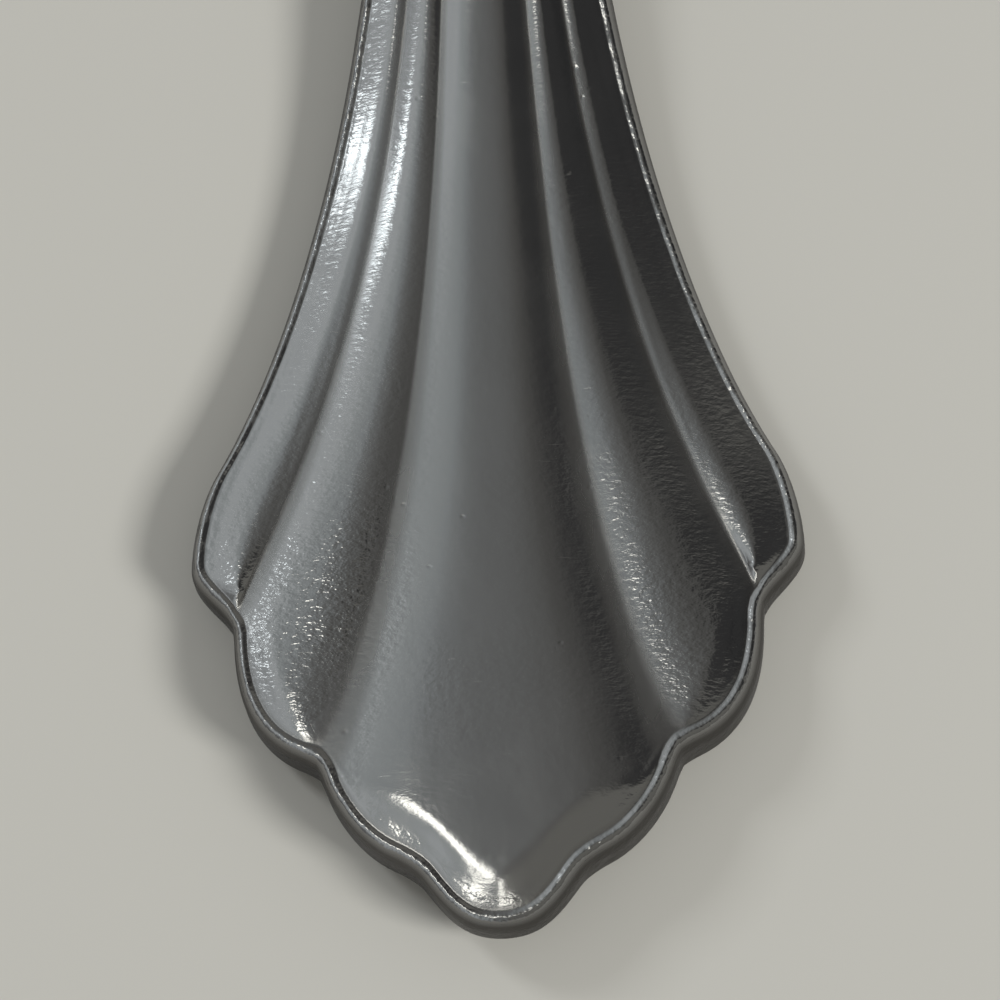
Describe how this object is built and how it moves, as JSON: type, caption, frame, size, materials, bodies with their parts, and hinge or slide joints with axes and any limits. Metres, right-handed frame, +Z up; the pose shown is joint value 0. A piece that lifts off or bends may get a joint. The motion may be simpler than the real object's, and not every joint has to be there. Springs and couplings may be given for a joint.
{
  "type": "spoon",
  "caption": "One-piece stainless steel table spoon: an oval bowl, a slim arched neck and a fluted handle that opens into a scalloped fan.",
  "frame": {"origin": "bottom centre of the bounding box, with the spoon lying bowl up on a table", "axes": "+Y along the spoon from the handle's tip to the front of the bowl, +Z up out of the bowl, +X across to the right"},
  "size_m": [0.041, 0.18, 0.0135],
  "materials": {
    "steel": "polished stainless steel with fine lengthwise and crosswise wear"
  },
  "bodies": {
    "root": {"bowl": "steel", "neck": "steel", "plain_shank": "steel", "fluted_shank": "steel", "centre_panel": "steel", "right_inner_petal": "steel", "left_inner_petal": "steel", "right_outer_petal": "steel", "left_outer_petal": "steel"}
  },
  "joints": []
}
